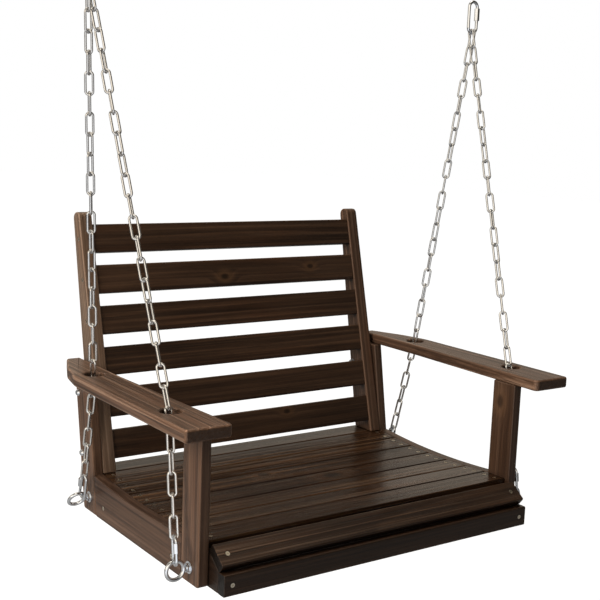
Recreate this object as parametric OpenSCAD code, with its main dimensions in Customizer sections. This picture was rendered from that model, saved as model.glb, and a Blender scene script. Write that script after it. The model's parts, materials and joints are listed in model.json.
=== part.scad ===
/* [Seat deck] */
// Clear width between the side frames, and the length of every seat slat
seat_w = 644; // [500:1:1400]
// Width of a seat slat
slat_w = 51.5; // [35:0.5:70]
// Gap between two seat slats
slat_gap = 2.5; // [1:0.5:8]
// Thickness of a seat slat
slat_t = 18; // [14:0.5:25]
// Setback of the first seat slat from the front of the posts
deck_setback = 8; // [4:0.5:20]
// Height of the lowest seat slat over the underside of the frame
deck_low_z = 65; // [55:0.5:90]
// How far the deck rises from its lowest slat to its front and rear rims
deck_dish = 8; // [2:0.5:12]
// Radius of the dished line of the deck
dish_r = 1700; // [1200:10:2600]
// Distance from the rear end of the dished line to the rear edge of the deck
dish_end_inset = 62; // [50:0.5:80]
// Radius on the long edges of the slats
slat_edge_r = 2.5; // [1:0.25:4]
// Width of the rolled front slat
nose_w = 41; // [30:0.5:50]
// Thickness of the rolled front slat
nose_t = 17; // [12:0.5:22]
// Forward tilt of the rolled front slat
nose_tilt = 38; // [25:1:50]
// Gap between the upper edges of the rolled slat and the first seat slat
nose_gap = 18.3; // [12:0.1:30]
// Height of the front apron
apron_h = 35; // [22:0.5:40]
// Thickness of the front apron
apron_t = 19; // [14:0.5:28]
// Gap between the rolled front slat and the apron below it
nose_rise = 0.3; // [0.3:0.1:4]
// How far the apron reaches back past the lowest edge of that slat
apron_lap = 2.5; // [2:0.5:5]

/* [Side frames] */
// Thickness of the posts and of the side boards
board_t = 19; // [15:0.5:30]
// Thickness of the bearers inside the side boards
bearer_t = 30; // [24:0.5:40]
// Width of a front post, measured from front to back
front_post_w = 55; // [45:0.5:80]
// Width of a rear post, measured along the level
rear_post_w = 54.5; // [45:0.5:80]
// Rearward lean of the rear posts
rear_post_lean = 10.2; // [0:0.1:16]
// Distance from the foot of a rear post to the rear edge of the deck
rear_post_inset = 72; // [60:0.5:90]
// Height of the underside of the arms
post_h = 253; // [200:1:320]
// Radius on the lower corners of the posts
post_corner_r = 6; // [1:0.5:12]

/* [Arms] */
// Width of an arm at its front end
arm_w = 82; // [60:0.5:110]
// Thickness of an arm
arm_t = 20.5; // [15:0.5:30]
// Overhang of an arm on the inside of its front post
arm_inner_lap = 4; // [0:0.5:15]
// Width that is taken off the inside of an arm to clear the back
arm_taper = 13; // [6:0.5:16]
// Overhang of an arm in front of its front post
arm_nose = 56; // [20:0.5:90]
// Distance along an arm from its rear end to the end of the taper
arm_rear_straight = 177; // [100:1:220]
// Length of the diagonal cut on the outer rear corner of an arm
arm_cut_l = 132; // [60:1:180]
// Depth of that diagonal cut
arm_cut_w = 43; // [10:1:50]
// Diameter of the chain holes in the arms
chain_hole_d = 35; // [28:0.5:45]
// Distance of the middles of these holes from the side frame
chain_hole_reach = 23.5; // [22:0.5:26]
// Distance of the front chain hole behind the front of the posts
front_hole_y = 53; // [35:0.5:80]
// Distance of the rear chain hole in front of the rear eye bolt
rear_hole_forward = 66; // [20:0.5:100]

/* [Back] */
// Width of a back upright across the seat
upright_t = 26; // [20:0.5:36]
// Depth of a back upright where it stands on the deck
upright_foot_w = 55.5; // [45:0.5:80]
// Depth of a back upright at its top
upright_top_w = 26; // [20:0.5:45]
// Height of the back over the rim of the deck
back_h = 464.5; // [400:0.5:600]
// Rearward lean of the front edges of the uprights
back_lean = 14.5; // [5:0.1:20]
// Distance of the front corner of an upright from the rear edge of the deck
upright_inset = 60.7; // [55:0.5:80]
// Width of a back slat
back_slat_w = 53; // [35:0.5:70]
// Thickness of a back slat
back_slat_t = 18; // [12:0.5:20]
// Setback of the back slats from the front edges of the uprights
back_slat_recess = 3; // [0:0.25:5]
// Height of the middle of the lowest back slat over the rim of the deck
back_slat_first = 49.5; // [35:0.5:70]
// Height from the middle of the highest back slat to the top of the back
back_slat_last = 46.5; // [30:0.5:70]

/* [Suspension] */
// Wire diameter of the chains
chain_wire = 4; // [3:0.25:4.5]
// Clear width inside a chain link
chain_inner_w = 8; // [7:0.25:10]
// Spacing of the chain links, which each leg fits to an even number of links
chain_pitch = 32.5; // [26:0.5:40]
// Turns that each chain leg is twisted over its length
chain_twist = -1; // [-1:0.5:1]
// Height of the hanging line over the underside of the frame
hang_z = 962.7; // [750:0.1:1400]
// Distance of the hanging line behind the front of the posts
hang_y = 264.2; // [200:0.1:330]
// Distance of each hanging point outside the ring of its eye bolts
hang_spread = 43.8; // [0:0.1:90]
// Play between two pieces of the suspension that hang in each other
link_play = 0.3; // [0.2:0.05:0.6]
// Overall length of the two upper quick links
top_link_l = 66; // [60:0.5:90]
// Wire diameter of the upper quick links
top_link_wire = 6; // [5:0.5:7]
// Clear width inside the upper quick links
top_link_inner_w = 15; // [14:0.5:20]
// Sleeve length on the upper quick links
top_sleeve_l = 24; // [18:0.5:26]
// Overall length of the four lower quick links
low_link_l = 50; // [46:0.5:70]
// Wire diameter of the lower quick links
low_link_wire = 5; // [4:0.5:6]
// Clear width inside the lower quick links
low_link_inner_w = 11; // [10:0.5:16]
// Sleeve length on the lower quick links
low_sleeve_l = 16; // [12:0.5:17]
// Turn of the lower front quick links about their pull, from square to the ring
low_front_turn = 10; // [0:1:20]
// Wall of the hexagon sleeves, measured across their flats
sleeve_wall = 1.7; // [1:0.1:2.5]
// Sideways distance between the two chain legs on one upper quick link
leg_offset = 4.8; // [4.6:0.1:6]

/* [Hardware] */
// Clear diameter inside the ring of an eye bolt
eye_inner_d = 24; // [18:0.5:30]
// Wire diameter of that ring
eye_wire = 6.5; // [5:0.25:8]
// Shank diameter of an eye bolt
eye_bolt_d = 8; // [6:0.5:10]
// Gap between the ring and the nut outside the frame
eye_gap = 0.4; // [0.2:0.1:6]
// Height of the front eye bolts over the underside of the frame
eye_front_z = 26.5; // [20:0.5:34]
// Height of the rear eye bolts over the underside of the frame
eye_rear_z = 28.5; // [20:0.5:34]
// Distance of a rear eye bolt behind the front edge of its post
eye_rear_inset = 24; // [18:0.5:32]
// Turn of the rear rings about their shanks, from upright
eye_rear_turn = 35; // [0:1:60]
// Place on a rear ring, from its top, where the quick link hangs
eye_rear_hook = 28; // [0:1:28]
// Width across the flats of the nuts on the eye bolts
eye_nut_af = 13; // [11:0.5:17]
// Thickness of the nuts outside the frame
eye_nut_t = 4.5; // [3:0.5:8]
// Diameter of the washers on the eye bolts
eye_washer_d = 20; // [16:0.5:26]
// Thickness of all washers
washer_t = 1.6; // [1:0.1:2.5]
// Diameter of the bolts that join the back to the rear posts
back_bolt_d = 6; // [5:0.5:8]
// Head diameter of these bolts
back_bolt_head_d = 12.5; // [10:0.5:16]
// Heights of these bolts over the underside of the frame
back_bolt_z = [102, 211];
// Distance of these bolts from the rear edges of the posts
back_bolt_edge = 8; // [7:0.5:14]
// Shank diameter of the wood screws
screw_d = 4; // [3:0.25:5]
// Head diameter of the wood screws
screw_head_d = 8; // [6.5:0.25:10]
// Length of a wood screw
screw_l = 38; // [30:1:42]
// Distance of the two screws at each slat end from the slat's middle line
screw_off = 13; // [8:0.5:16]
// Height of the side board screws over the underside of the frame
side_screw_z = 23.5; // [10:0.5:40]
// Distance of the side board screws from the posts
side_screw_in = 32; // [15:0.5:60]
// Sink of the screw heads under the wood
screw_sink = 0.3; // [0.1:0.1:1]
// Radial play of bolts and screws in their holes
hole_play = 0.05; // [0.02:0.01:0.1]
// Radial play of the sleeves on the quick links
sleeve_play = 0.08; // [0.03:0.01:0.1]

/* [Hidden] */
$fn = 48;
SIDES = [["left", -1], ["right", 1]];

// Plain construction values
slat_count = 8;     // flat seat slats, one node each
back_slat_count = 6;    // back slats, one node each
CUT = 1;            // how far a cutter runs past the wood
ARC_STEPS = 5;      // straight pieces in each rounded corner
SCREW_TIP = 5;      // length of a screw's point
TIP_SHARE = 0.2;    // width of its end, as a share of the shank
LINK_FN = 24;       // sides of the bent wires
DISH_FN = 360;      // sides of the large circle that hollows the side boards
SLIVER = 0.01;      // overlap of two cutters
CROSS = [0.5, 0.11, 0.17];  // length, width and depth of a cross recess, as shares of the head
nose_screw_in = 3;  // how much further in the screws of the rolled slat sit than the others

// The side frames, from the middle outwards
x_in = seat_w / 2;
x_out = x_in + board_t;
x_bearer = x_in - bearer_t;
x_screw = x_in - bearer_t / 2;
x_ring = x_out + washer_t + eye_nut_t + eye_gap + eye_inner_d / 2 + eye_wire;
x_hole = x_out + chain_hole_reach;

// The deck, from front to back
slat_pitch = slat_w + slat_gap;
deck_l = slat_count * slat_pitch;
deck_end_y = deck_setback + deck_l;
deck_rim_z = deck_low_z + deck_dish;
dish_reach = sqrt(2 * dish_r * deck_dish);
dish_y = deck_end_y - dish_end_inset - dish_reach;
nose_sin = sin(nose_tilt);
nose_cos = cos(nose_tilt);
nose_under_z = apron_h + nose_rise - slat_edge_r * (nose_sin + nose_cos - 1);
nose_top = [deck_setback + slat_gap / 2 - nose_gap, nose_under_z + nose_w * nose_sin + nose_t * nose_cos];
nose_low = nose_top - nose_w * [nose_cos, nose_sin];
nose_under = nose_low + nose_t * [nose_sin, -nose_cos];
apron_back_y = nose_under[0] + apron_lap;
apron_front_y = apron_back_y - apron_t;

// Posts and back
rear_slope = tan(rear_post_lean);
rear_post_y = deck_end_y - rear_post_inset;
back_slope = tan(back_lean);
upright_y = deck_end_y - upright_inset;
back_top_z = deck_rim_z + back_h;
back_slat_pitch = (back_h - back_slat_first - back_slat_last) / (back_slat_count - 1);
arm_end_y = rear_post_y + rear_post_w + rear_slope * post_h;
eye_front_y = front_post_w / 2;
eye_rear_y = rear_post_y + rear_slope * eye_rear_z + eye_rear_inset;
rear_hole_y = eye_rear_y - rear_hole_forward;
arm_mid_z = post_h + arm_t / 2;
arm_cut_bend = [0.28, 0.57];                // where the diagonal cut bends, as shares of its depth and length
upright_round = [0.4, 0.45];                // front and rear top corner radii, as shares of the top's depth
arm_corner_r = [9, 5, 60, 90, 6, 3, 30];    // corner radii, from the inner front corner round the outside

// Suspension: links hang in each other with link_play between their wires
chain_bow_r = (chain_inner_w + chain_wire) / 2;
eye_ring_r = (eye_inner_d + eye_wire) / 2;
top_bow_r = (top_link_inner_w + top_link_wire) / 2;
top_span = top_link_l - top_link_wire;
hang_low_z = hang_z - top_span + top_link_wire / 2;
low_span = low_link_l - low_link_wire;
hook_lean = 0.5;        // sideways lean of a chain's topmost link
hook_off = leg_offset / 2 + hook_lean;
slant_drop = 0.6;       // extra play of a rear quick link, whose bend crosses its ring at a slant
hook_rise = top_bow_r - sqrt(pow((top_link_inner_w - chain_wire) / 2 - link_play, 2) - pow(hook_off, 2));
sleeve_end_gap = 1.5;   // rest between a sleeve and the bend of its link
sleeve_grip = 3;        // stretch of wire that a closed sleeve still covers above the opening
mouth_stub = 0.5;       // stretch of wire that an open sleeve bares below the opening
chain_hole_lean = 4;    // the chains run this far behind the middles of their holes

// The wire a front quick link hangs on is the top of its ring, and a rear one a point beside the top
ring_front = [x_ring, eye_front_y, eye_front_z + eye_ring_r];
ring_rear = [x_ring, eye_rear_y, eye_rear_z]
    + eye_ring_r * [-sin(eye_rear_hook), -cos(eye_rear_hook) * sin(eye_rear_turn),
                    cos(eye_rear_hook) * cos(eye_rear_turn)];
bend_front = [x_hole, front_hole_y + chain_hole_lean, arm_mid_z];
bend_rear = [x_hole, rear_hole_y + chain_hole_lean, arm_mid_z];
pull_front = unit(bend_front - ring_front);
pull_rear = unit(bend_rear - ring_rear);
low_seat = eye_wire / 2 + low_link_wire / 2 + link_play;
low_link_front = ring_front - pull_front * low_seat;
// A rear quick link crosses its ring at a slant: it hangs lower for that, and turns square to the wire
ring_wire = [-cos(eye_rear_hook), sin(eye_rear_hook) * sin(eye_rear_turn),
             -sin(eye_rear_hook) * cos(eye_rear_turn)];
cross_wire = ring_wire - (ring_wire * pull_rear) * pull_rear;
low_rear_turn = atan2(-cross_wire[1], -cross_wire[0]);
low_link_rear = ring_rear - pull_rear * (low_seat + slant_drop) / norm(cross_wire);

function unit(v) = v / norm(v);

// Points of a closed outline whose corner i is rounded with radii[i]
function corner(p, before, after, r) =
    r == 0 ? [p] :
    let (u = unit(before - p), v = unit(after - p), half = acos(u * v) / 2,
         c = p + unit(u + v) * r / sin(half),
         s = p + u * r / tan(half) - c, e = p + v * r / tan(half) - c,
         a = atan2(s[1], s[0]), turn = atan2(e[1], e[0]) - a,
         sweep = turn > 180 ? turn - 360 : turn < -180 ? turn + 360 : turn)
    [for (i = [0 : ARC_STEPS]) c + r * [cos(a + sweep * i / ARC_STEPS), sin(a + sweep * i / ARC_STEPS)]];
function rounded(points, radii) =
    let (n = len(points))
    [for (i = [0 : n - 1]) each corner(points[i], points[(i + n - 1) % n], points[(i + 1) % n], radii[i])];
function board_outline(w, t, r) =
    rounded([[-w / 2, -t], [w / 2, -t], [w / 2, 0], [-w / 2, 0]], [r, r, r, r]);

// Height of the dished deck line, and the slope of one slat on it
function dish_z(y) = deck_low_z + min(deck_dish, pow(y - dish_y, 2) / (2 * dish_r));
function slat_y(i) = deck_setback + slat_pitch * (i - 0.5);
function slat_front_z(i) = dish_z(slat_y(i) - slat_w / 2);
function slat_rear_z(i) = dish_z(slat_y(i) + slat_w / 2);
function slat_z(i) = (slat_front_z(i) + slat_rear_z(i)) / 2;
function slat_angle(i) = atan((slat_rear_z(i) - slat_front_z(i)) / slat_w);

// Front edge of the back uprights at a height over the deck's rim
function back_y(h) = upright_y + back_slope * h;
function back_slat_h(k) = back_slat_first + (k - 1) * back_slat_pitch;
function back_bolt_y(z) = rear_post_y + rear_post_w + rear_slope * z - back_bolt_edge;

// Placing helpers
module at_hanging_line() translate([0, -hang_y, -hang_z]) children();
module on_side(side) mirror([side < 0 ? 1 : 0, 0, 0]) children();
module in_place(side) at_hanging_line() on_side(side) children();
module across(x0, x1) translate([x0, 0, 0]) rotate([90, 0, 90]) linear_extrude(x1 - x0) children();
module at_slat(i) translate([0, slat_y(i), slat_z(i)]) rotate([slat_angle(i), 0, 0]) children();
module at_nose() {
    middle = (nose_top + nose_low) / 2;
    translate([0, middle[0], middle[1]]) rotate([nose_tilt, 0, 0]) children();
}
module at_apron() translate([0, apron_front_y, apron_h / 2]) rotate([90, 0, 0]) children();
module at_back(h) translate([0, back_y(h), deck_rim_z + h]) rotate([-back_lean, 0, 0]) children();

// Bores and holes along X, from x0 to x1
module bore_x(x0, x1, y, z, d) translate([x0, y, z]) rotate([0, 90, 0]) cylinder(h = x1 - x0, d = d);

// A countersunk wood screw whose head lies at the origin and whose point is down the -Z axis
module screw_body(play) {
    head_h = (screw_head_d - screw_d) / 2;
    translate([0, 0, -screw_sink - head_h])
        cylinder(h = head_h, d1 = screw_d + 2 * play, d2 = screw_head_d + 2 * play);
    translate([0, 0, -screw_l + SCREW_TIP - play])
        cylinder(h = screw_l - SCREW_TIP - screw_sink - head_h + play, d = screw_d + 2 * play);
}
module screw() {
    slot_l = screw_head_d * CROSS[0];
    slot_w = screw_head_d * CROSS[1];
    slot_depth = screw_head_d * CROSS[2];
    difference() {
        union() {
            screw_body(0);
            translate([0, 0, -screw_l]) cylinder(h = SCREW_TIP, d1 = screw_d * TIP_SHARE, d2 = screw_d);
        }
        for (a = [0, 90])
            rotate([0, 0, a]) translate([-slot_l / 2, -slot_w / 2, -slot_depth - screw_sink])
                cube([slot_l, slot_w, slot_depth + CUT]);
    }
}
module screw_hole() {
    screw_body(hole_play);
    translate([0, 0, -screw_sink - SLIVER]) cylinder(h = CUT + screw_sink, d = screw_head_d + 2 * hole_play);
    translate([0, 0, -screw_l - hole_play]) cylinder(h = SCREW_TIP + hole_play, d = screw_d + 2 * hole_play);
}

// Places of the screws: children are drawn once for each
module seat_screw_places(i, side)
    at_slat(i) for (y = [-screw_off, screw_off]) translate([side * x_screw, y, 0]) children();
module nose_screw_place(side) at_nose() translate([side * (x_screw - nose_screw_in), 0, 0]) children();
module apron_screw_place(side) at_apron() translate([side * x_screw, 0, 0]) children();
module side_screw_places()
    for (y = [front_post_w + side_screw_in, rear_post_y - side_screw_in + rear_slope * side_screw_z])
        translate([x_out, y, side_screw_z]) rotate([0, 90, 0]) children();
module back_screw_place(k) {
    depth = back_slat_recess + back_slat_t / 2;
    at_back(back_slat_h(k)) translate([x_in, depth, 0]) rotate([0, 90, 0]) children();
}

// Side frames
module side_board(side) color("#5b4334") in_place(side) difference() {
    top = deck_rim_z + slat_t;
    across(x_in, x_out) polygon([
        [front_post_w, 0], [rear_post_y, 0],
        [rear_post_y + rear_slope * top, top], [front_post_w, top]]);
    translate([x_in - CUT, dish_y, deck_low_z + dish_r]) rotate([0, 90, 0])
        cylinder(h = board_t + 2 * CUT, r = dish_r, $fn = DISH_FN);
    side_screw_places() screw_hole();
}
module front_post(side) color("#634b3d") in_place(side) difference() {
    across(x_in, x_out) polygon(rounded(
        [[0, 0], [front_post_w, 0], [front_post_w, post_h], [0, post_h]],
        [post_corner_r, 0, 0, 0]));
    bore_x(x_in - CUT, x_out + CUT, eye_front_y, eye_front_z, eye_bolt_d + 2 * hole_play);
}
module rear_post(side) color("#634b3d") in_place(side) difference() {
    across(x_in, x_out) polygon(rounded(
        [[rear_post_y, 0], [rear_post_y + rear_post_w, 0],
         [rear_post_y + rear_post_w + rear_slope * post_h, post_h],
         [rear_post_y + rear_slope * post_h, post_h]],
        [0, post_corner_r, 0, 0]));
    bore_x(x_in - CUT, x_out + CUT, eye_rear_y, eye_rear_z, eye_bolt_d + 2 * hole_play);
    for (z = back_bolt_z)
        bore_x(x_in - CUT, x_out + CUT, back_bolt_y(z), z, back_bolt_d + 2 * hole_play);
}
module seat_bearer(side) color("#4b3629") in_place(side) difference() {
    under = [for (i = [1 : slat_count]) each [
        [slat_y(i) - slat_w / 2, slat_front_z(i)] + slat_t * [sin(slat_angle(i)), -cos(slat_angle(i))],
        [slat_y(i) + slat_w / 2, slat_rear_z(i)] + slat_t * [sin(slat_angle(i)), -cos(slat_angle(i))]]];
    nose_slope = nose_sin / nose_cos;
    front_top = [nose_under[0] + (under[0][1] - nose_under[1]) / nose_slope, under[0][1]];
    rear_z = under[len(under) - 1][1];
    across(x_bearer, x_in) polygon(concat(
        [[apron_back_y, 0], nose_under + apron_lap * [1, nose_slope], front_top],
        [for (i = [0 : len(under) - 2]) under[i]],
        [[rear_post_y + rear_post_w + rear_slope * rear_z, rear_z], [rear_post_y + rear_post_w, 0]]));
    for (i = [1 : slat_count]) seat_screw_places(i, 1) screw_hole();
    nose_screw_place(1) screw_hole();
    apron_screw_place(1) screw_hole();
    side_screw_places() screw_hole();
    bore_x(x_bearer - CUT, x_in + CUT, eye_front_y, eye_front_z, eye_bolt_d + 2 * hole_play);
    bore_x(x_bearer - CUT, x_in + CUT, eye_rear_y, eye_rear_z, eye_bolt_d + 2 * hole_play);
}

// Arms
module arm(side) color("#5f4a3c") in_place(side) difference() {
    inner = x_in - arm_inner_lap;
    outer = inner + arm_w;
    translate([0, 0, post_h]) linear_extrude(arm_t) polygon(rounded(
        [[inner, -arm_nose], [outer, -arm_nose], [outer, arm_end_y - arm_cut_l],
         [outer - arm_cut_w * arm_cut_bend[0], arm_end_y - arm_cut_l * arm_cut_bend[1]],
         [outer - arm_cut_w, arm_end_y], [inner + arm_taper, arm_end_y],
         [inner + arm_taper, arm_end_y - arm_rear_straight]],
        arm_corner_r));
    for (y = [front_hole_y, rear_hole_y])
        translate([x_hole, y, post_h - CUT]) cylinder(h = arm_t + 2 * CUT, d = chain_hole_d);
}

// Deck
module seat_slat(i) color("#4a362a") at_hanging_line() difference() {
    at_slat(i) across(-x_in, x_in) polygon(board_outline(slat_w, slat_t, slat_edge_r));
    for (side = [-1, 1]) seat_screw_places(i, side) screw_hole();
}
module front_nose_slat() color("#4a362a") at_hanging_line() difference() {
    at_nose() across(-x_in, x_in) polygon(board_outline(nose_w, nose_t, slat_edge_r));
    for (side = [-1, 1]) nose_screw_place(side) screw_hole();
}
module front_apron() color("#3f2d25") at_hanging_line() difference() {
    at_apron() across(-x_in, x_in) polygon(board_outline(apron_h, apron_t, slat_edge_r));
    for (side = [-1, 1]) apron_screw_place(side) screw_hole();
}

// Back
module back_upright(side) color("#5a4334") in_place(side) difference() {
    rear_top_y = back_y(back_h) + upright_top_w;
    across(x_in - upright_t, x_in) polygon(rounded(
        [[upright_y, deck_rim_z], [upright_y + upright_foot_w, deck_rim_z],
         [rear_top_y, back_top_z], [back_y(back_h), back_top_z]],
        [0, 0, upright_top_w * upright_round[1], upright_top_w * upright_round[0]]));
    for (z = back_bolt_z)
        bore_x(x_in - upright_t - CUT, x_in + CUT, back_bolt_y(z), z, back_bolt_d + 2 * hole_play);
    for (k = [1 : back_slat_count]) back_screw_place(k) screw_hole();
}
module back_slat(k) color("#46332a") at_hanging_line() difference() {
    half = x_in - upright_t;
    at_back(back_slat_h(k)) translate([0, back_slat_recess, 0]) rotate([90, 0, 0])
        across(-half, half) polygon(board_outline(back_slat_w, back_slat_t, slat_edge_r));
    for (side = [-1, 1]) on_side(side) back_screw_place(k) screw_hole();
}

// A wire bent into a half ring in the XZ plane, open towards +Z
module half_ring(r, wire) rotate([90, 0, 0]) rotate([0, 0, 180])
    rotate_extrude(angle = 180) translate([r, 0]) circle(d = wire, $fn = LINK_FN);
module bar(x, z0, z1, wire) translate([x, 0, z0]) cylinder(h = z1 - z0, d = wire, $fn = LINK_FN);

// Chain link with its bend centres on the Z axis, lowest wire centre at the origin, in the XZ plane
module chain_link(span) {
    translate([0, 0, chain_bow_r]) half_ring(chain_bow_r, chain_wire);
    translate([0, 0, span - chain_bow_r]) mirror([0, 0, 1]) half_ring(chain_bow_r, chain_wire);
    for (x = [-chain_bow_r, chain_bow_r]) bar(x, chain_bow_r, span - chain_bow_r, chain_wire);
}
// Turns the Z axis to a direction, and keeps the X axis in the XZ plane
module along(dir) rotate([asin(-dir[1]), atan2(dir[0], dir[2]), 0]) children();

// A chain leg from the upper quick link, bent in its arm hole, down to a lower quick link
module chain_leg(offset, bend, low, pull, low_turn) {
    hook = [x_ring + hang_spread + offset, hang_y, hang_low_z];
    first = unit(hook - bend);
    top = hook + first * (hook_rise - (chain_wire + link_play) / 2);
    bottom = low + pull * (low_span - (low_link_wire + link_play) / 2);
    upper_l = norm(top - bend);
    whole_l = upper_l + norm(bottom - bend);
    chain_links = 2 * round(whole_l / chain_pitch / 2);
    pitch = whole_l / chain_links;
    twist = (360 * chain_twist + low_turn) / (chain_links - 1);
    function point(i) = let (d = pitch * i)
        d <= upper_l ? top - first * d : bend + unit(bottom - bend) * (d - upper_l);
    for (i = [0 : chain_links - 1]) {
        step = point(i) - point(i + 1);
        over = (chain_wire + link_play) / 2;
        translate(point(i + 1) - unit(step) * over) along(unit(step))
            rotate([0, 0, (i % 2 == 0 ? 90 : 0) + i * twist]) chain_link(norm(step) + 2 * over);
    }
}
module chain_front(side) color("#c9cbcc") in_place(side)
    chain_leg(-leg_offset / 2, bend_front, low_link_front, pull_front, low_front_turn);
module chain_rear(side) color("#c9cbcc") in_place(side)
    chain_leg(leg_offset / 2, bend_rear, low_link_rear, pull_rear, low_rear_turn);

// A quick link in the XZ plane with its lower wire centre at the origin, and its sleeve on +X
function sleeve_low(bow_r, span, sleeve_l) = span - bow_r - sleeve_end_gap - sleeve_l;
module quick_link(bow_r, span, wire, sleeve_l) {
    closed = sleeve_low(bow_r, span, sleeve_l);
    travel = closed - bow_r - sleeve_end_gap;
    mouth_top = closed + sleeve_l - sleeve_grip;
    mouth_low = closed - travel + sleeve_l + mouth_stub;
    translate([0, 0, bow_r]) half_ring(bow_r, wire);
    translate([0, 0, span - bow_r]) mirror([0, 0, 1]) half_ring(bow_r, wire);
    bar(-bow_r, bow_r, span - bow_r, wire);
    bar(bow_r, bow_r, mouth_low, wire);
    bar(bow_r, mouth_top, span - bow_r, wire);
}
module sleeve(bow_r, span, wire, sleeve_l) {
    flats = wire + 2 * sleeve_wall;
    translate([bow_r, 0, sleeve_low(bow_r, span, sleeve_l)]) difference() {
        cylinder(h = sleeve_l, d = flats / cos(30), $fn = 6);
        translate([0, 0, -CUT]) cylinder(h = sleeve_l + 2 * CUT, d = wire + 2 * sleeve_play);
    }
}
module at_top_link(side) at_hanging_line()
    translate([side * (x_ring + hang_spread), hang_y, hang_low_z]) children();
module top_quick_link(side) color("#d2d3d4") at_top_link(side)
    quick_link(top_bow_r, top_span, top_link_wire, top_sleeve_l);
module top_sleeve(side) color("#b9bbbc") at_top_link(side)
    sleeve(top_bow_r, top_span, top_link_wire, top_sleeve_l);
low_bow_r = (low_link_inner_w + low_link_wire) / 2;
module at_low_front(side)
    in_place(side) translate(low_link_front) along(pull_front) rotate([0, 0, low_front_turn - 90]) children();
module at_low_rear(side) in_place(side) translate(low_link_rear) along(pull_rear)
    rotate([0, 0, 90 + low_rear_turn]) children();
module low_link() color("#d2d3d4") quick_link(low_bow_r, low_span, low_link_wire, low_sleeve_l);
module low_sleeve() color("#b9bbbc") sleeve(low_bow_r, low_span, low_link_wire, low_sleeve_l);

// Eye bolts with their nuts and washers, each laid along X from the ring inwards
module at_eye(front) translate([0, front ? eye_front_y : eye_rear_y, front ? eye_front_z : eye_rear_z])
    rotate([front ? 0 : eye_rear_turn, 0, 0]) children();
inner_nut_t = eye_nut_t + 2;    // the inner nut is a full nut, the outer one a thin nut
eye_tail = 3;                   // length of thread past a nut
module eye_bolt(side, front) color("#cfd0d1") in_place(side) at_eye(front) {
    x_end = x_bearer - washer_t - inner_nut_t - eye_tail;
    translate([x_ring, 0, 0]) rotate([90, 0, 0]) rotate_extrude()
        translate([eye_ring_r, 0]) circle(d = eye_wire, $fn = LINK_FN);
    bore_x(x_end, x_ring - eye_ring_r, 0, 0, eye_bolt_d);
}
module ring_x(x, t, d, hole, sides) translate([x, 0, 0]) rotate([0, 90, 0]) difference() {
    cylinder(h = t, d = d, $fn = sides);
    translate([0, 0, -CUT]) cylinder(h = t + 2 * CUT, d = hole);
}
module at_eyes() for (s = SIDES, front = [true, false]) in_place(s[1]) at_eye(front) children();
module eye_bolt_nuts() color("#c4c6c7") at_eyes()
    for (place = [[x_out + washer_t, eye_nut_t], [x_bearer - washer_t - inner_nut_t, inner_nut_t]])
        ring_x(place[0], place[1], eye_nut_af / cos(30), eye_bolt_d + 2 * hole_play, 6);
module eye_bolt_washers() color("#c4c6c7") at_eyes()
    for (x = [x_out, x_bearer - washer_t])
        ring_x(x, washer_t, eye_washer_d, eye_bolt_d + 2 * hole_play, $fn);

// Bolts that join the back uprights to the rear posts
back_head_h = 3.5;      // height of a head
back_head_taper = 4;    // how much narrower a head is on its outer face
back_nut_t = 5;         // thickness of a nut
back_nut_less = 2.5;    // how much narrower a nut is than a head
x_back = x_in - upright_t;
module at_back_bolts()
    for (s = SIDES, z = back_bolt_z) in_place(s[1]) translate([0, back_bolt_y(z), z]) children();
module back_bolts() color("#bfc1c2") at_back_bolts() {
    translate([x_out, 0, 0]) rotate([0, 90, 0])
        cylinder(h = back_head_h, d1 = back_bolt_head_d, d2 = back_bolt_head_d - back_head_taper);
    bore_x(x_back - washer_t - back_nut_t - eye_tail, x_out, 0, 0, back_bolt_d);
}
module back_bolt_nuts() color("#bfc1c2") at_back_bolts()
    ring_x(x_back - washer_t - back_nut_t, back_nut_t,
           (back_bolt_head_d - back_nut_less) / cos(30), back_bolt_d + 2 * hole_play, 6);
module back_bolt_washers() color("#bfc1c2") at_back_bolts()
    ring_x(x_back - washer_t, washer_t, back_bolt_head_d, back_bolt_d + 2 * hole_play, $fn);

// Wood screws
module seat_screws() color("#cdb98a") at_hanging_line()
    for (i = [1 : slat_count], side = [-1, 1]) seat_screw_places(i, side) screw();
module front_screws() color("#cdb98a") at_hanging_line() for (side = [-1, 1]) {
    nose_screw_place(side) screw();
    apron_screw_place(side) screw();
}
module side_screws() color("#cdb98a") for (s = SIDES) in_place(s[1]) side_screw_places() screw();
module back_screws() color("#cdb98a")
    for (s = SIDES, k = [1 : back_slat_count]) in_place(s[1]) back_screw_place(k) screw();

side_board(-1);  // side_board_left
side_board(1);  // side_board_right
front_post(-1);  // front_post_left
front_post(1);  // front_post_right
rear_post(-1);  // rear_post_left
rear_post(1);  // rear_post_right
seat_bearer(-1);  // seat_bearer_left
seat_bearer(1);  // seat_bearer_right
arm(-1);  // arm_left
arm(1);  // arm_right
back_upright(-1);  // back_upright_left
back_upright(1);  // back_upright_right
seat_slat(1);  // seat_slat_1
seat_slat(2);  // seat_slat_2
seat_slat(3);  // seat_slat_3
seat_slat(4);  // seat_slat_4
seat_slat(5);  // seat_slat_5
seat_slat(6);  // seat_slat_6
seat_slat(7);  // seat_slat_7
seat_slat(8);  // seat_slat_8
front_nose_slat();
front_apron();
back_slat(1);  // back_slat_1
back_slat(2);  // back_slat_2
back_slat(3);  // back_slat_3
back_slat(4);  // back_slat_4
back_slat(5);  // back_slat_5
back_slat(6);  // back_slat_6
chain_front(-1);  // chain_front_left
chain_front(1);  // chain_front_right
chain_rear(-1);  // chain_rear_left
chain_rear(1);  // chain_rear_right
eye_bolt(-1, true);  // eye_bolt_front_left
eye_bolt(1, true);  // eye_bolt_front_right
eye_bolt(-1, false);  // eye_bolt_rear_left
eye_bolt(1, false);  // eye_bolt_rear_right
eye_bolt_nuts();
eye_bolt_washers();
top_quick_link(-1);  // top_quick_link_left
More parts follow.
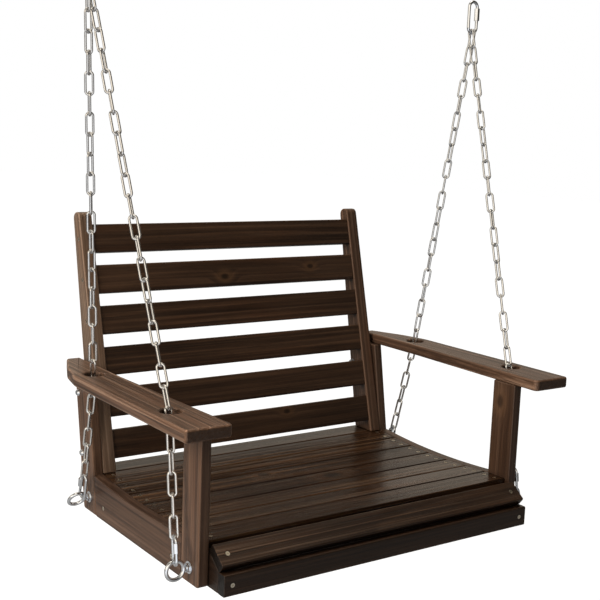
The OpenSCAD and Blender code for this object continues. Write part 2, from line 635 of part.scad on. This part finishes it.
top_quick_link(1);  // top_quick_link_right
top_sleeve(-1);  // top_sleeve_left
top_sleeve(1);  // top_sleeve_right
at_low_front(-1) low_link();  // low_quick_link_front_left
at_low_front(1) low_link();  // low_quick_link_front_right
at_low_rear(-1) low_link();  // low_quick_link_rear_left
at_low_rear(1) low_link();  // low_quick_link_rear_right
at_low_front(-1) low_sleeve();  // low_sleeve_front_left
at_low_front(1) low_sleeve();  // low_sleeve_front_right
at_low_rear(-1) low_sleeve();  // low_sleeve_rear_left
at_low_rear(1) low_sleeve();  // low_sleeve_rear_right
seat_screws();
front_screws();
side_screws();
back_screws();
back_bolts();
back_bolt_nuts();
back_bolt_washers();
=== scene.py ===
import json
import math
import random

import bmesh
import bpy
from mathutils import Matrix, Vector

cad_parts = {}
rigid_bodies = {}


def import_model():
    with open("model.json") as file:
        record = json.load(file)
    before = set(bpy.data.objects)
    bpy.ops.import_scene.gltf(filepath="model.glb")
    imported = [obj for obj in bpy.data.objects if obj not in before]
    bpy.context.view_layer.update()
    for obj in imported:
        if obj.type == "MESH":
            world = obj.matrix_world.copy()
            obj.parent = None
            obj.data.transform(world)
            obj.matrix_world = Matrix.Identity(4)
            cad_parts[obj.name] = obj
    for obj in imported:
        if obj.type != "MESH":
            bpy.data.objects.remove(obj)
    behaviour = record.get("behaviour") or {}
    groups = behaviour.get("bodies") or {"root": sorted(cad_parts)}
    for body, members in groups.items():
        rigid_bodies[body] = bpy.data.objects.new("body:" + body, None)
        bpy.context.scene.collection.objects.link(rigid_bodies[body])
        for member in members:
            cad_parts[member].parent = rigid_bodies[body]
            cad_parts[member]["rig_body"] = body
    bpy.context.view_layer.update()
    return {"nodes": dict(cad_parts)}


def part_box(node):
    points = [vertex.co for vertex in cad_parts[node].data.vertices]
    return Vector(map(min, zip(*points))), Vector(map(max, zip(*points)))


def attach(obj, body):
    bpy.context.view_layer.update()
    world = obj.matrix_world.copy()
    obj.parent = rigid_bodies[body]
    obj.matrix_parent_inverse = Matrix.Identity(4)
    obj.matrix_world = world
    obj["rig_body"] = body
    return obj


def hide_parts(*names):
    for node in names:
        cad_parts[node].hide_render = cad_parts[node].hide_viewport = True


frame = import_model()
nodes = frame["nodes"]
scene = bpy.context.scene

# ---------------------------------------------------------------- camera, fitted to the photo
FOCAL_PX, FRAME_PX, SENSOR_MM = 1106.04, 600, 36.0
CAM_AT = Vector((-1.153939, -1.660034, -0.255130))
CAM_RIGHT = Vector((0.82004028, -0.57103629, 0.03809851))
CAM_UP = Vector((0.05729825, 0.14815458, 0.98730296))
CAM_FORWARD = Vector((0.56943028, 0.80744522, -0.15421210))
NEAREST, FARTHEST = 0.01, 50

cam_data = bpy.data.cameras.new("camera")
cam_data.sensor_width = SENSOR_MM
cam_data.sensor_fit = "HORIZONTAL"
cam_data.lens = SENSOR_MM * FOCAL_PX / FRAME_PX
cam_data.clip_start, cam_data.clip_end = NEAREST, FARTHEST
cam = bpy.data.objects.new("camera", cam_data)
scene.collection.objects.link(cam)
turn = Matrix((CAM_RIGHT, CAM_UP, -CAM_FORWARD)).transposed().to_4x4()
cam.matrix_world = Matrix.Translation(CAM_AT) @ turn
scene.camera = cam


# ---------------------------------------------------------------- node helpers
class Graph:
    """Short names for building a material's or the world's node tree."""

    def __init__(self, tree):
        self.tree = tree
        tree.nodes.clear()

    def node(self, kind, inputs=(), **settings):
        """A node. Each input is linked if it is another node's socket, and else set."""
        made = self.tree.nodes.new(kind)
        for key, value in settings.items():
            setattr(made, key, value)
        for key, value in dict(inputs).items():
            if isinstance(value, bpy.types.NodeSocket):
                self.tree.links.new(value, made.inputs[key])
            else:
                made.inputs[key].default_value = value
        return made

    def math(self, op, a, b=0.0, clamp=False):
        return self.node("ShaderNodeMath", {0: a, 1: b}, operation=op, use_clamp=clamp).outputs[0]

    def add(self, a, b, clamp=False):
        return self.math("ADD", a, b, clamp)

    def times(self, a, b, clamp=False):
        return self.math("MULTIPLY", a, b, clamp)

    def swing(self, noise, amount):
        """Noise lies about 0.5. This makes it swing about nought, by the amount."""
        return self.times(self.math("SUBTRACT", noise, 0.5), amount)

    def vec(self, op, a, b=(0, 0, 0), out="Vector"):
        return self.node("ShaderNodeVectorMath", {0: a, 1: b}, operation=op).outputs[out]

    def length(self, v):
        return self.vec("LENGTH", v, out="Value")

    def dot(self, a, b):
        return self.vec("DOT_PRODUCT", a, b, out="Value")

    def noise(self, v, along, across, detail=2.0, rough=0.5, scale=1.0):
        """Noise with so many cycles a metre along x, and across it."""
        stretched = self.vec("MULTIPLY", v, (along, across, across))
        inputs = {"Vector": stretched, "Scale": scale, "Detail": detail, "Roughness": rough}
        return self.node("ShaderNodeTexNoise", inputs).outputs["Fac"]

    def ramp(self, fac, stops):
        """Takes fac through greys, given as (place, grey)."""
        made = self.node("ShaderNodeValToRGB", {"Fac": fac})
        elements = made.color_ramp.elements
        while len(elements) < len(stops):
            elements.new(0.5)
        for element, (place, grey) in zip(elements, stops):
            element.position = place
            element.color = (grey, grey, grey, 1)
        return made.outputs["Color"]

    def mix(self, fac, a, b, blend="MIX"):
        """Mixes two colours, each a socket or a tuple of three."""
        a, b = ((*c, 1) if isinstance(c, tuple) else c for c in (a, b))
        made = self.node("ShaderNodeMix", {0: fac, 6: a, 7: b}, data_type="RGBA", blend_type=blend)
        return made.outputs[2]

    def remap(self, v, a, b, c=0.0, d=1.0, smooth=False):
        """Takes v from the range a to b to the range c to d, and no further."""
        inputs = {"Value": v, "From Min": a, "From Max": b, "To Min": c, "To Max": d}
        kind = "SMOOTHSTEP" if smooth else "LINEAR"
        return self.node("ShaderNodeMapRange", inputs, interpolation_type=kind).outputs[0]

    def open_air(self, reach, samples, only_local=False):
        """1 where nothing is near within reach, down to 0 where all is."""
        made = self.node("ShaderNodeAmbientOcclusion", {"Distance": reach}, samples=samples,
                         only_local=only_local)
        return made.outputs["AO"]

    def surface(self, inputs, height, strength, depth):
        """Ends a material in a principled shader with these inputs and a bump."""
        bump = self.node("ShaderNodeBump",
                         {"Strength": strength, "Distance": depth, "Height": height})
        shader = self.node("ShaderNodeBsdfPrincipled", {**inputs, "Normal": bump.outputs[0]})
        self.node("ShaderNodeOutputMaterial", {"Surface": shader.outputs[0]})


def new_material(name):
    """A material and its graph, which is empty and called g below."""
    made = bpy.data.materials.new(name)
    made.use_nodes = True
    return made, Graph(made.node_tree)


def shade(colour, factor):
    """A colour times a number, or times one number for each channel."""
    factors = factor if isinstance(factor, tuple) else (factor,) * 3
    return tuple(c * k for c, k in zip(colour, factors))


# ---------------------------------------------------------------- stained timber
RING = 0.0068                   # from one growth ring to the next
RING_SHIVER = 0.0026            # how far the rings waver from fibre to fibre
# over one ring, the place in it and how much of it is late wood
LATEWOOD = ((0.0, 0.0), (0.30, 0.06), (0.62, 0.55), (0.84, 1.0), (0.94, 0.85), (1.0, 0.0))
# noises: cycles a metre along and across the grain, then detail and roughness if not usual
WANDER, SHIVER, CLOUDS, REDS = (1.3, 6, 1.0), (8, 70), (2.6, 15), (4.2, 34)
FIBRES, STREAKS, PORES = (12, 800, 3.0, 0.6), (1.7, 120, 4.0, 0.6), (45, 1400, 1.0)
LINE_DETAIL = (3.0, 0.55)
# the values at which each of these begins and is full
STREAK_RANGE, BROKEN_RING_RANGE = (0.32, 0.70), (0.34, 0.62)
PALE_RANGE, DEEP_RANGE = (0.53, 0.66), (0.54, 0.66)
RED_RANGE, PORE_RANGE = (0.48, 0.70), (0.64, 0.73)
END_RANGE = (0.80, 0.97)        # cosine between a face and the grain
OPEN_RANGE = (0.25, 0.80)       # how open a joint is
RUB_AND_HIGHLIGHT_RANGE = (0.52, 0.60)        # pointiness of an edge
# how much each of these moves the tone or covers the colour
STREAK, FIBRE, CLOUD, RED, PORE, JOINT_SHADE = 0.52, 0.60, 0.95, 0.45, 0.5, 0.80
# and for a knot, how much its core moves the tone, and its core and its rim cover the colour
IN_CORE, ON_CORE, ON_RIM = 0.9, 0.80, 0.30
# what light is multiplied by in these places, then dark, and last the colour in red patches
PALER, KNOT_RIM = (1.7, 1.95, 2.2), (1.5, 1.4, 1.1)
DEEP_LINE, IN_PORE, IN_JOINT_SHADE, KNOT_CORE = 0.6, 0.4, 0.35, 0.30
REDDER = (1.0, 0.80, 0.66)
JOINT_SHADE_REACH = 0.016             # how far from a neighbour the painted shade reaches
GRAIN_BUMP = (0.40, 0.0005)     # strength, and depth in metres
STAIN_IOR = 1.42

KNOT_STRETCH = 0.62             # a knot's width over its length along the grain
# in radii of the knot: how far the rings are pushed out and over what width, where the core is
# full and where it ends, and where the rim ends
KNOT_PUSH, KNOT_SPREAD, CORE_FULL, CORE_END, RIM_END = 1.5, 2.1, 0.35, 1.05, 2.6
NEAR_E = 2.718


def board_frame(g, along, face, origin):
    """The place in the board's own frame, with x along the grain and z out of the wide face, and
    how far a surface is end grain, from 0 to 1."""
    x = Vector(along).normalized()
    z = Vector(face)
    z = (z - z.dot(x) * x).normalized()
    rows = Matrix((x, z.cross(x), z))
    coords = g.node("ShaderNodeTexCoord").outputs
    inputs = {"Vector": coords["Object"], "Location": -(rows @ Vector(origin)),
              "Rotation": rows.to_euler()}
    place = g.node("ShaderNodeMapping", inputs, vector_type="POINT").outputs[0]
    return place, g.math("ABSOLUTE", g.dot(coords["Normal"], tuple(x)))


def growth_rings(g, place, varied, pith, roam, knots):
    """Rings round the pith, wandering slowly along the grain and swelling round each knot. Gives
    how much a place is late wood, the core of a knot and the rim of one."""
    out = g.length(g.vec("MULTIPLY", g.vec("SUBTRACT", place, pith), (0, 1, 1)))
    out = g.add(out, g.swing(g.noise(varied, *WANDER), roam))
    out = g.add(out, g.swing(g.noise(varied, *SHIVER), RING_SHIVER))
    core = rim = 0.0
    for knot_x, knot_y, radius in knots:
        flat = g.vec("MULTIPLY", place, (KNOT_STRETCH, 1, 0))
        off = g.length(g.vec("SUBTRACT", flat, (KNOT_STRETCH * knot_x, knot_y, 0)))
        squared = g.math("POWER", g.math("DIVIDE", off, KNOT_SPREAD * radius), 2.0)
        bulge = g.math("POWER", NEAR_E, g.times(squared, -1.0))
        out = g.add(out, g.times(bulge, KNOT_PUSH * radius))
        in_core = g.remap(off, CORE_FULL * radius, CORE_END * radius, 1.0, 0.0, smooth=True)
        in_rim = g.remap(off, radius, RIM_END * radius, 1.0, 0.0, smooth=True)
        core, rim = g.math("MAXIMUM", core, in_core), g.math("MAXIMUM", rim, in_rim)
    late = g.ramp(g.math("FRACT", g.math("DIVIDE", out, RING)), LATEWOOD)
    return late, core, rim


def stained_timber(name, along, face, origin, seed, dark, light, knots, bold, wear_and_highlight, roam=0.034,
                   rings=0.38, fineness=230, gloss=0.34, ends=(0.85, 0.5)):
    """Straight-grained softwood under a semi-gloss brown stain.

    along is the grain's direction, face the normal of the board's wide face, origin its middle.
    dark and light are the colours between and on the grain lines, and a knot is (along, across,
    radius). bold and fineness are how strong and how close the fine lines are, roam and rings
    how far the growth rings wander and how strong they are. wear_and_highlight is how much the
    edges are lightened, as rubbed wear and as a painted highlight, gloss the roughness, and ends
    how fully the end grain darkens and down to what."""
    draw = random.Random(seed)
    material, g = new_material(name)
    place, end = board_frame(g, along, face, origin)
    varied = g.vec("ADD", place, tuple(draw.uniform(5, 90) for _ in range(3)))
    pith = (0, draw.uniform(-0.04, 0.04), -draw.uniform(0.03, 0.08))
    late, core, rim = growth_rings(g, place, varied, pith, roam, knots)

    # rings, long streaks, fibres and broad clouds make the tone between dark and light
    fibre = g.noise(varied, *FIBRES)
    streak = g.noise(varied, *STREAKS)
    lines = g.times(late, g.remap(streak, *BROKEN_RING_RANGE, 0.15, 1.0))
    tone = g.add(g.times(lines, rings), g.times(g.remap(streak, *STREAK_RANGE), STREAK))
    tone = g.add(tone, g.swing(fibre, FIBRE))
    tone = g.add(tone, g.swing(g.noise(varied, *CLOUDS), CLOUD), clamp=True)
    if knots:
        tone = g.times(tone, g.math("SUBTRACT", 1.0, g.times(core, IN_CORE)), clamp=True)
    colour = g.mix(tone, dark, light)

    # thin pale and dark lines
    pale = g.remap(g.noise(varied, 1.2, fineness, *LINE_DETAIL), *PALE_RANGE)
    deep = g.remap(g.noise(varied, 1.6, 0.8 * fineness, *LINE_DETAIL, scale=3.0), *DEEP_RANGE)
    colour = g.mix(g.times(pale, bold), colour, shade(light, PALER))
    colour = g.mix(g.times(deep, bold), colour, shade(dark, DEEP_LINE))
    # redder patches where the stain took less
    red = g.remap(g.noise(varied, *REDS), *RED_RANGE, smooth=True)
    colour = g.mix(g.times(red, RED), colour, REDDER, blend="MULTIPLY")
    if knots:
        colour = g.mix(g.times(rim, ON_RIM), colour, shade(light, KNOT_RIM))
        colour = g.mix(g.times(core, ON_CORE), colour, shade(dark, KNOT_CORE))
    # short dark pores
    pores = g.remap(g.noise(varied, *PORES), *PORE_RANGE)
    colour = g.mix(g.times(pores, PORE), colour, shade(dark, IN_PORE))
    # end grain drinks more stain; where it is made nearly black, that is also painted shade
    colour = g.mix(g.remap(end, *END_RANGE, 0.0, ends[0]), colour, shade(dark, ends[1]))
    # painted shade: darker in joints, in gaps and under parts, wherever another part is near
    open_air = g.open_air(JOINT_SHADE_REACH, samples=6)
    painted_joint_shade = g.remap(open_air, *OPEN_RANGE, JOINT_SHADE, 0.0, smooth=True)
    colour = g.mix(painted_joint_shade, colour, shade(dark, IN_JOINT_SHADE))
    # lighter edges: partly rubbed wear, partly a painted highlight along the rounded edges
    edge = g.node("ShaderNodeNewGeometry").outputs["Pointiness"]
    rubbed_and_highlit = g.times(g.remap(edge, *RUB_AND_HIGHLIGHT_RANGE, smooth=True), wear_and_highlight)
    colour = g.mix(rubbed_and_highlit, colour, tuple(2.2 * c + 0.01 for c in light))

    # the lighter, the glossier; rings, fibres and thin lines stand a little proud or deep
    roughness = g.remap(tone, 0.0, 1.0, gloss + 0.07, gloss - 0.04)
    height = g.add(g.times(late, 0.5), g.times(fibre, 0.8))
    height = g.add(height, g.times(g.math("SUBTRACT", pale, deep), 1.6 * bold))
    inputs = {"Base Color": colour, "Roughness": roughness, "IOR": STAIN_IOR}
    g.surface(inputs, height, *GRAIN_BUMP)
    return material


# ---------------------------------------------------------------- metal
TOP_SHADE_GREY = (0.34, 0.36, 0.40)
TOP_SHADE_FROM, TOP_SHADE_TO = -0.80, -0.35       # heights between which painted shade makes the plating darker and greyer
PATCHES, SCRATCHES = (90, 90, 3.0, 0.6), (900, 900, 2.0, 0.6)     # noises, as for the timber
GRIME_AND_SHADE, GRIME_AND_SHADE_RANGE = 0.85, (0.35, 0.85)
PLATING_BUMP = (0.10, 0.0002)


def zinc(name, base, rough, hollow=0.0006, dirt_and_shade=(0.10, 0.08, 0.06), top_shade=0.0):
    """Bright plating with faint patches and fine scratches.

    Grime and painted shade darken hollows of the size hollow, and higher up painted shade makes
    the plating darker by top_shade."""
    material, g = new_material(name)
    place = g.node("ShaderNodeTexCoord").outputs["Object"]
    patches = g.noise(place, *PATCHES)
    tone = g.add(g.swing(patches, 0.5), 0.5, clamp=True)
    colour = g.mix(tone, shade(base, 0.78), tuple(min(1.0, 1.08 * c) for c in base))
    roughness = g.add(rough, g.swing(g.noise(place, *SCRATCHES), 0.16))
    roughness = g.add(roughness, g.swing(patches, 0.14), clamp=True)
    height = g.node("ShaderNodeSeparateXYZ", {0: place}).outputs["Z"]
    # painted shade: the plating is greyer and darker higher up
    top_shaded = g.remap(height, TOP_SHADE_FROM, TOP_SHADE_TO, 0.0, top_shade, smooth=True)
    colour = g.mix(top_shaded, colour, TOP_SHADE_GREY)
    # darker in hollows: partly grime, partly painted shade in the recesses
    open_air = g.open_air(hollow, samples=8, only_local=True)
    grime_and_shade = g.times(g.remap(open_air, *GRIME_AND_SHADE_RANGE, 1.0, 0.0, smooth=True), GRIME_AND_SHADE)
    colour = g.mix(grime_and_shade, colour, dirt_and_shade)
    roughness = g.add(roughness, g.times(grime_and_shade, 0.3), clamp=True)
    inputs = {"Base Color": colour, "Metallic": 1.0, "Roughness": roughness}
    g.surface(inputs, patches, *PLATING_BUMP)
    return material


# ---------------------------------------------------------------- geometry helpers
MERGE_REACH = 2e-6              # CAD corners this near are one
FLAT_DEG = 0.4                  # facets that meet at less than this are one face
SHARP_DEG = 32                  # edges over this are rounded
SMOOTH_DEG = 40                 # edges over this stay sharp in the shading
SMALL = 0.017                   # rims with a smaller diagonal are those of small holes


def connected(edges):
    """Sorts edges into groups that hang together."""
    left, groups = set(edges), []
    while left:
        stack, group = [left.pop()], []
        while stack:
            edge = stack.pop()
            group.append(edge)
            for vert in edge.verts:
                for other in vert.link_edges:
                    if other in left:
                        left.discard(other)
                        stack.append(other)
        groups.append(group)
    return groups


def diagonal(edges):
    """The diagonal of the box round some edges."""
    points = [vert.co for edge in edges for vert in edge.verts]
    return Vector([max(p[i] for p in points) - min(p[i] for p in points)
                   for i in range(3)]).length


def eased_copy(node, edge_w, hole_w, material, segments=3):
    """A copy of a CAD node that replaces it. Its edges are rounded by edge_w, and the rims of its
    small holes by hole_w, or like the other edges where that is 0."""
    src = nodes[node]
    mesh = bpy.data.meshes.new("eased_" + node)
    bm = bmesh.new()
    bm.from_mesh(src.data)
    bmesh.ops.remove_doubles(bm, verts=bm.verts, dist=MERGE_REACH)
    bmesh.ops.dissolve_limit(bm, angle_limit=math.radians(FLAT_DEG), verts=bm.verts,
                             edges=bm.edges)
    sharp = [e for e in bm.edges
             if len(e.link_faces) == 2 and e.calc_face_angle(0) > math.radians(SHARP_DEG)]
    wide, narrow = [], []
    for group in connected(sharp):
        (narrow if hole_w and diagonal(group) < SMALL else wide).extend(group)
    for group, width in ((narrow, hole_w), (wide, edge_w)):
        group = [e for e in group if e.is_valid]
        if group:
            bmesh.ops.bevel(bm, geom=group, offset=width, offset_type="OFFSET",
                            segments=segments, profile=0.5, affect="EDGES", clamp_overlap=False)
    bmesh.ops.recalc_face_normals(bm, faces=bm.faces)
    for f in bm.faces:
        f.smooth = True
    bm.to_mesh(mesh)
    bm.free()
    mesh.set_sharp_from_angle(angle=math.radians(SMOOTH_DEG))
    obj = bpy.data.objects.new("eased_" + node, mesh)
    scene.collection.objects.link(obj)
    obj.modifiers.new("normals", "WEIGHTED_NORMAL").keep_sharp = True
    mesh.materials.append(material)
    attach(obj, src["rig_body"])
    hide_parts(node)


def dress(node, material):
    """Gives a CAD node a material on all its slots."""
    mesh = nodes[node].data
    if not mesh.materials:
        mesh.materials.append(material)
    for i in range(len(mesh.materials)):
        mesh.materials[i] = material


# ---------------------------------------------------------------- timber pieces
POST_LEAN, BACK_LEAN, NOSE_TILT = 10.2, 14.5, 38        # degrees
X, Y, Z = (1, 0, 0), (0, 1, 0), (0, 0, 1)


def leaning(degrees):
    """Upwards, leaning to the rear by so many degrees."""
    return (0, math.sin(math.radians(degrees)), math.cos(math.radians(degrees)))


LEAN_POST, LEAN_BACK, NOSE_FACE = leaning(POST_LEAN), leaning(BACK_LEAN), leaning(-NOSE_TILT)
BACK_FACE = (0, -LEAN_BACK[2], LEAN_BACK[1])
TIMBER, DARK_TIMBER = "stained_timber", "stained_timber_dark"

# of each board the direction of its grain, the normal of its wide face and its slot
boards = {f"seat_slat_{i}": (X, Z, DARK_TIMBER) for i in range(1, 9)}
boards.update({f"back_slat_{i}": (X, BACK_FACE, DARK_TIMBER) for i in range(1, 7)})
boards["front_nose_slat"] = (X, NOSE_FACE, DARK_TIMBER)
boards["front_apron"] = (X, (0, -1, 0), DARK_TIMBER)
for side in ("left", "right"):
    boards["front_post_" + side] = (Z, X, TIMBER)
    boards["rear_post_" + side] = (LEAN_POST, X, TIMBER)
    boards["side_board_" + side] = (Y, X, TIMBER)
    boards["seat_bearer_" + side] = (Y, X, TIMBER)
    boards["arm_" + side] = (Y, Z, TIMBER)
    boards["back_upright_" + side] = (LEAN_BACK, X, TIMBER)

# knots where the photo has them: along, across and radius, from the board's middle
KNOTS = {
    "seat_slat_5": [(-0.054, 0.009, 0.011)], "seat_slat_4": [(0.059, 0.001, 0.017)],
    "front_post_right": [(0.089, -0.007, 0.010)], "back_slat_1": [(0.090, 0.016, 0.006)],
    "back_slat_5": [(-0.023, -0.007, 0.007), (0.186, 0.005, 0.006)],
}

# the colours between and on the grain lines, and what they are multiplied by on some boards
DECK = (0.0110, 0.0046, 0.0022), (0.084, 0.039, 0.017)
BACK = (0.0130, 0.0066, 0.0038), (0.092, 0.049, 0.028)
SEAT_FRAME = (0.0225, 0.0112, 0.0068), (0.160, 0.087, 0.052)
# paler and greyer colours for back_upright_left: painted light and sheen on its lit outer face
LIT_SHEEN_PALETTE = (0.034, 0.020, 0.012), (0.200, 0.130, 0.088)
DECK_TONE = 0.74
TONE_SPREAD = (0.88, 1.14)
FIRST_SEED = 100
# the higher tones of back_upright_left and arm_left are painted light and sheen on the lit left
# side, and the very low tone of seat_bearer_left is painted shade
TONES_AND_PAINTED_LIGHT = {
    "back_upright_left": 1.20, "back_upright_right": 0.86, "front_post_left": 1.12,
    "front_post_right": 0.76, "rear_post_right": 0.52, "seat_bearer_left": 0.15,
    "side_board_left": 0.92, "front_apron": 0.66, "front_nose_slat": 0.76, "arm_left": 1.12,
}

# how each kind of board is grained, and how far its long edges are eased
# nearly black end grain on the nose and apron: more stain, and painted shade
BLACK_ENDS_AND_SHADE = (1.0, 0.25)
STYLES = {
    "seat_slat": (dict(bold=0.85, fineness=110, wear_and_highlight=0.05, gloss=0.20), 0.0008),
    "back_slat": (dict(bold=0.15, wear_and_highlight=0.05, roam=0.022), 0.0008),
    "front_nose": (dict(bold=0.85, fineness=300, wear_and_highlight=0.05, ends=BLACK_ENDS_AND_SHADE), 0.0008),
    "front_apron": (dict(bold=0.15, wear_and_highlight=0.0, roam=0.015, ends=BLACK_ENDS_AND_SHADE), 0.0008),
    "front_post": (dict(rings=0.22, bold=0.28, wear_and_highlight=0.5, roam=0.014), 0.0028),
    "rear_post": (dict(bold=0.40, wear_and_highlight=0.5, roam=0.016), 0.0028),
    "back_upright": (dict(bold=0.45, wear_and_highlight=0.6, roam=0.016), 0.0028),
    "side_board": (dict(rings=0.14, bold=0.14, wear_and_highlight=0.0, roam=0.014), 0.0015),
    "seat_bearer": (dict(bold=0.25, wear_and_highlight=0.2, roam=0.020), 0.0015),
    "arm": (dict(rings=0.5, bold=0.9, fineness=170, wear_and_highlight=0.8, roam=0.018, gloss=0.30), 0.0040),
}
HOLE_RIM = 0.0004               # how far the rims of small holes are eased


def palette(name, slot):
    # back_upright_left takes the colours with painted light and sheen
    if name == "back_upright_left":
        return LIT_SHEEN_PALETTE
    if name.startswith("seat_slat"):
        return DECK
    return BACK if slot == DARK_TIMBER else SEAT_FRAME


for number, (name, (along, face, slot)) in enumerate(sorted(boards.items())):
    lo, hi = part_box(name)
    tone = random.Random(FIRST_SEED + number).uniform(*TONE_SPREAD)
    tone *= TONES_AND_PAINTED_LIGHT.get(name, DECK_TONE if name.startswith("seat_slat") else 1.0)
    dark, light = (shade(colour, tone) for colour in palette(name, slot))
    style, edge = next(STYLES[kind] for kind in STYLES if name.startswith(kind))
    material = stained_timber("timber_" + name, along, face, (lo + hi) / 2, number, dark, light,
                              KNOTS.get(name, ()), **style)
    eased_copy(name, edge, HOLE_RIM, material)

# ---------------------------------------------------------------- chains and hardware
ZINC = zinc("zinc_chain", (0.92, 0.92, 0.92), 0.24, top_shade=0.3)
ZINC_FAR = zinc("zinc_chain_far", (0.90, 0.92, 0.96), 0.24, top_shade=0.3)
ZINC_BRIGHT = zinc("zinc_hardware", (0.83, 0.87, 0.93), 0.18)
BRASS = zinc("passivated_screws", (0.93, 0.86, 0.72), 0.34, hollow=0.0009,
             dirt_and_shade=(0.05, 0.035, 0.02))
HEXAGONS = ("top_sleeve", "low_sleeve", "eye_bolt_nuts", "back_bolt_nuts")
HEXAGON_EDGE = 0.0004
for name in sorted(nodes):
    if name in boards:
        continue
    if name.endswith("screws"):
        dress(name, BRASS)
    elif name.startswith("chain"):
        dress(name, ZINC_FAR if name.endswith("right") else ZINC)
    elif name.startswith(HEXAGONS):
        eased_copy(name, HEXAGON_EDGE, 0, ZINC_BRIGHT, segments=2)
    else:
        dress(name, ZINC_BRIGHT)

# ---------------------------------------------------------------- floor
FLOOR_SIZE, FLOOR_Y, FLOOR_Z = 30, 6, -1.42
FLOOR_GREY = (0.28, 0.28, 0.28, 1)
SEAT_MIDDLE = (0, 0, -0.5)
WEDGE = (0.72, 0.94)            # cosines off the camera's side at which it begins and is full
bpy.ops.mesh.primitive_plane_add(size=FLOOR_SIZE, location=(0, FLOOR_Y, FLOOR_Z))
floor = bpy.context.object
floor.name = "floor"
material, g = new_material("pale_floor")
path = g.node("ShaderNodeLightPath").outputs
place = g.node("ShaderNodeNewGeometry").outputs["Position"]
# what mirrors the floor sees it bright only towards the camera
from_seat = g.vec("NORMALIZE", g.vec("SUBTRACT", place, SEAT_MIDDLE))
ahead = g.dot(from_seat, (-0.569, -0.807, -0.10))
wedge = g.remap(ahead, *WEDGE, 0.10, 1.1, smooth=True)
seen = g.math("MAXIMUM", path["Is Camera Ray"], g.times(path["Is Glossy Ray"], wedge))
# it is a little darker under the seat than far away
white = g.remap(g.length(place), 2.0, 3.6, 0.90, 1.0, smooth=True)
diffuse = g.node("ShaderNodeBsdfDiffuse", {"Color": FLOOR_GREY})
glow = g.node("ShaderNodeEmission", {"Color": (1, 1, 1, 1), "Strength": g.times(seen, white)})
both = g.node("ShaderNodeAddShader", {0: diffuse.outputs[0], 1: glow.outputs[0]})
g.node("ShaderNodeOutputMaterial", {"Surface": both.outputs[0]})
floor.data.materials.append(material)

# ---------------------------------------------------------------- world
AMBIENT, AMBIENT_TINT = 0.11, (1.0, 0.89, 0.74)
# bright fields that only mirrored rays see: the direction of the middle, the cosines off it at
# which the field begins and is full, and its strength
FIELDS = (
    ((-0.569, -0.807, 0.154), *WEDGE, 1.3),         # towards the camera
    ((-0.93, -0.10, 0.35), 0.90, 0.98, 1.5),        # to the left
    ((0.0, 0.0, 1.0), 0.88, 0.97, 2.5),             # overhead
)
world = bpy.data.worlds.new("studio")
scene.world = world
world.use_nodes = True
g = Graph(world.node_tree)
path = g.node("ShaderNodeLightPath").outputs
direction = g.node("ShaderNodeTexCoord").outputs["Generated"]
# mirrored rays see a dim room, lighter to the rear, with the fields in it
rearward = g.node("ShaderNodeSeparateXYZ", {0: direction}).outputs["Y"]
mirrored = g.remap(rearward, -0.2, 0.7, 0.06, 0.50, smooth=True)
for middle, begins, full, level in FIELDS:
    field = g.remap(g.dot(direction, middle), begins, full, 0.0, level, smooth=True)
    mirrored = g.add(mirrored, field)
strength = AMBIENT
for ray, value in ((path["Is Glossy Ray"], mirrored), (path["Is Camera Ray"], 1.0)):
    strength = g.node("ShaderNodeMix", {"Factor": ray, "A": strength, "B": value}).outputs[0]
tint = g.mix(path["Is Camera Ray"], AMBIENT_TINT, (1.0, 1.0, 1.0))
sky = g.node("ShaderNodeBackground", {"Color": tint, "Strength": strength})
g.node("ShaderNodeOutputWorld", {"Surface": sky.outputs[0]})

# ---------------------------------------------------------------- lamps
WARM = (1.0, 0.95, 0.88)
LAMPS = (                       # name, place, what it is aimed at, size and power
    ("key_left", (-2.7, -0.3, 0.5), (0, 0, -0.65), (1.2, 1.7), 92),
    ("fill_front", (-1.6, -2.5, 1.2), (0, 0, -0.75), (1.0, 0.8), 9),
    ("top", (0.2, 0.1, 1.8), (0, 0, -0.7), (1.2, 1.2), 24),
    ("rim_back", (-1.0, 2.2, 0.5), (0, 0, -0.7), (1.6, 0.5), 30),
)
for name, at, aim, size, power in LAMPS:
    data = bpy.data.lights.new(name, "AREA")
    data.shape = "RECTANGLE"
    data.size, data.size_y = size
    data.energy = power
    data.color = WARM
    obj = bpy.data.objects.new(name, data)
    obj.location = at
    obj.rotation_mode = "QUATERNION"
    obj.rotation_quaternion = (Vector(aim) - Vector(at)).to_track_quat("-Z", "Y")
    obj.visible_glossy = False
    scene.collection.objects.link(obj)

scene.view_settings.view_transform = "Standard"
